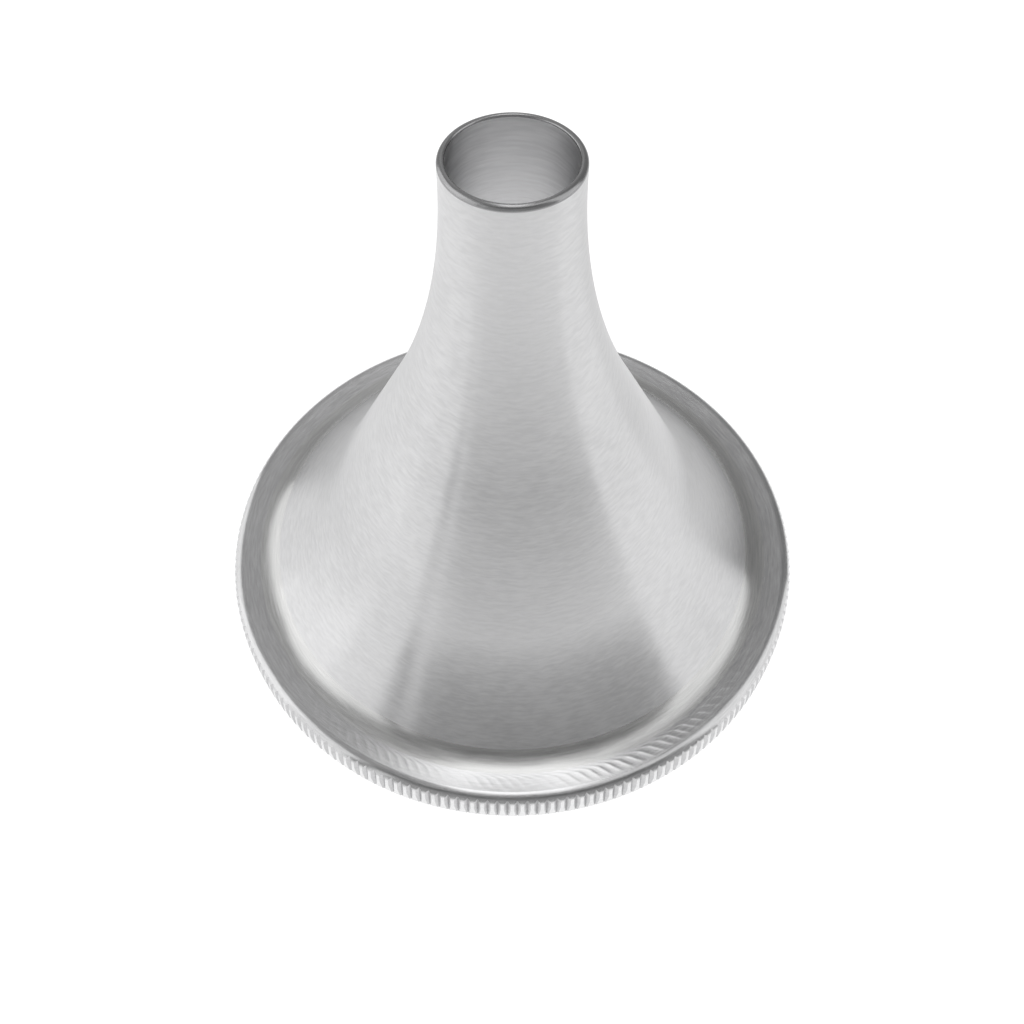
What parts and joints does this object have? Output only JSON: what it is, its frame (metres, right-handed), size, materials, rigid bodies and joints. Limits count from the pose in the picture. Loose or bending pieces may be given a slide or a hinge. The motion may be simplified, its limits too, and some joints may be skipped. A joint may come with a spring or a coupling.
{
  "type": "ear speculum",
  "caption": "Funnel-shaped steel ear speculum with a narrow round-lipped tip, flared bell and straight-knurled rim.",
  "frame": {"origin": "centre of the rim's foot, on the plane that the rim stands on", "axes": "+Z along the funnel's axis from the wide mouth up to the narrow tip; X and Y lie in the foot's plane, and the part is round about Z"},
  "size_m": [0.041, 0.041, 0.0353],
  "materials": {
    "funnel_steel": "satin stainless steel with short fine brush lines that run mostly around the axis",
    "rim_steel": "turned stainless steel with a smooth crest, slanted chatter ripples in the channel and bright knurled flanks",
    "solder_silver": "silver solder dressed flush and brushed like the steel on both sides"
  },
  "bodies": {
    "root": {"funnel": "funnel_steel", "rim_ring": "rim_steel", "solder_fillet": "solder_silver"}
  },
  "joints": []
}
